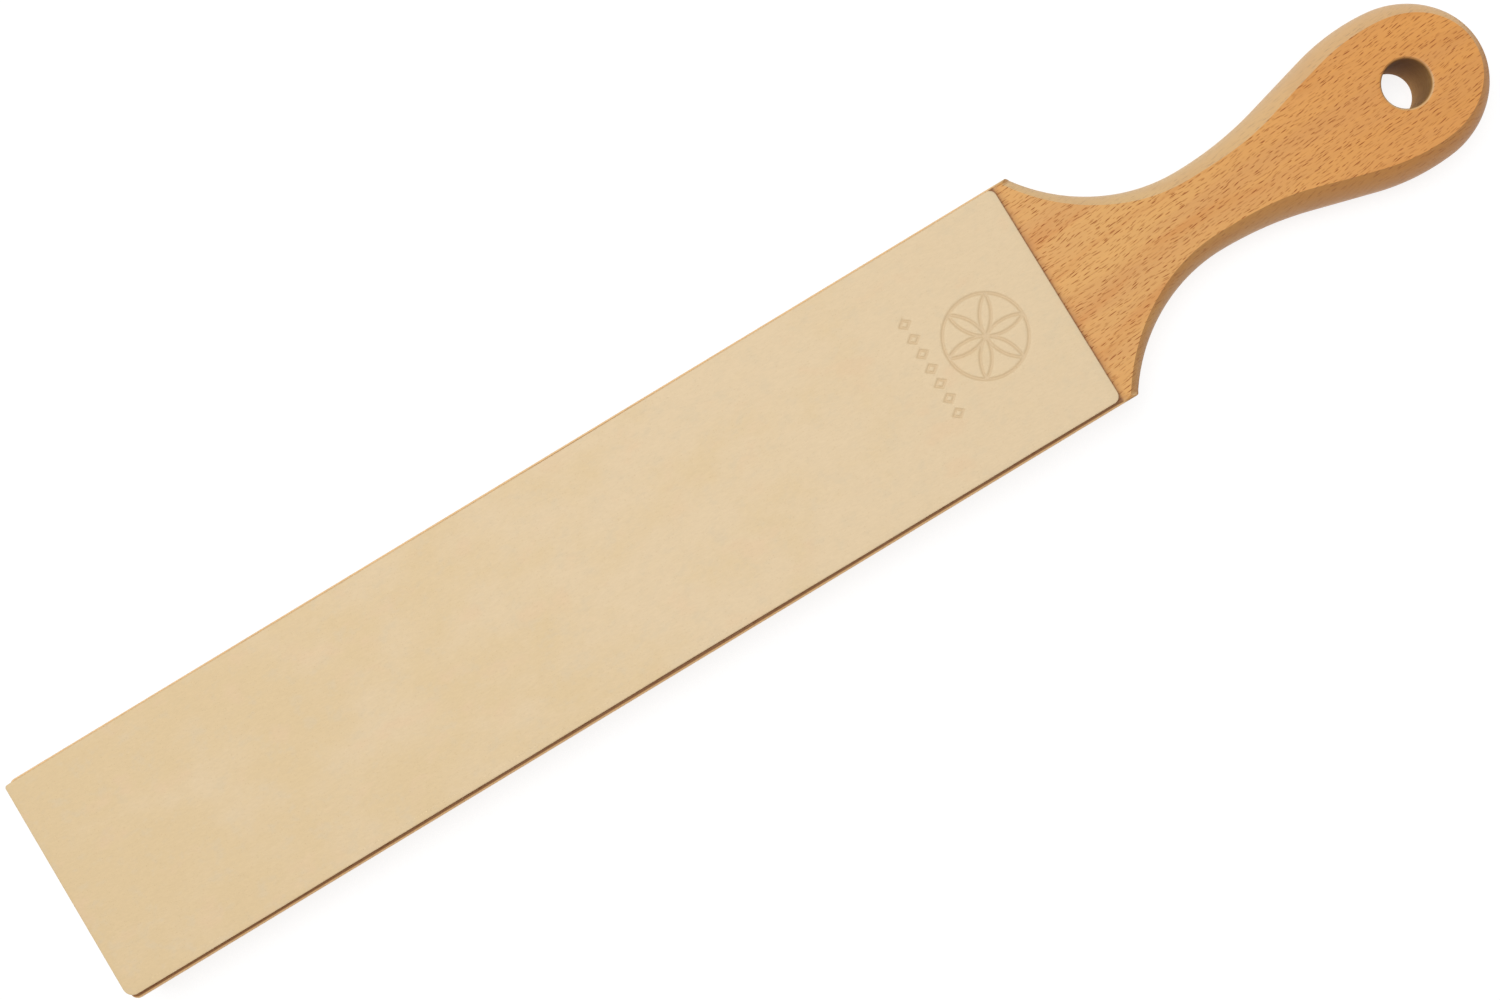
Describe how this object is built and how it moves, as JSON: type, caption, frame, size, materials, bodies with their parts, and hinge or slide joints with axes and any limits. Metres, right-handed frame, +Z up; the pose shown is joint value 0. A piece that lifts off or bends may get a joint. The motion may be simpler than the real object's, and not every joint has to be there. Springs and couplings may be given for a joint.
{
  "type": "leather strop",
  "caption": "Paddle strop: a long flat wooden blade faced with smooth leather, and a waisted handle with a round knob and a hanging hole.",
  "frame": {"origin": "under the middle of the paddle's outline, on the flat back face", "axes": "+X along the paddle towards the handle's tip, +Y across it, +Z up out of the leather's working face"},
  "size_m": [0.5, 0.077, 0.0228],
  "materials": {
    "beech": "sanded bare beech, satin, with fine dark ray flecks",
    "contact_cement": "thin dried contact cement",
    "strop_leather": "smooth undyed vegetable-tanned leather, matte satin, with a blind stamp"
  },
  "bodies": {
    "root": {"paddle": "beech", "cement_film": "contact_cement", "leather": "strop_leather"}
  },
  "joints": []
}
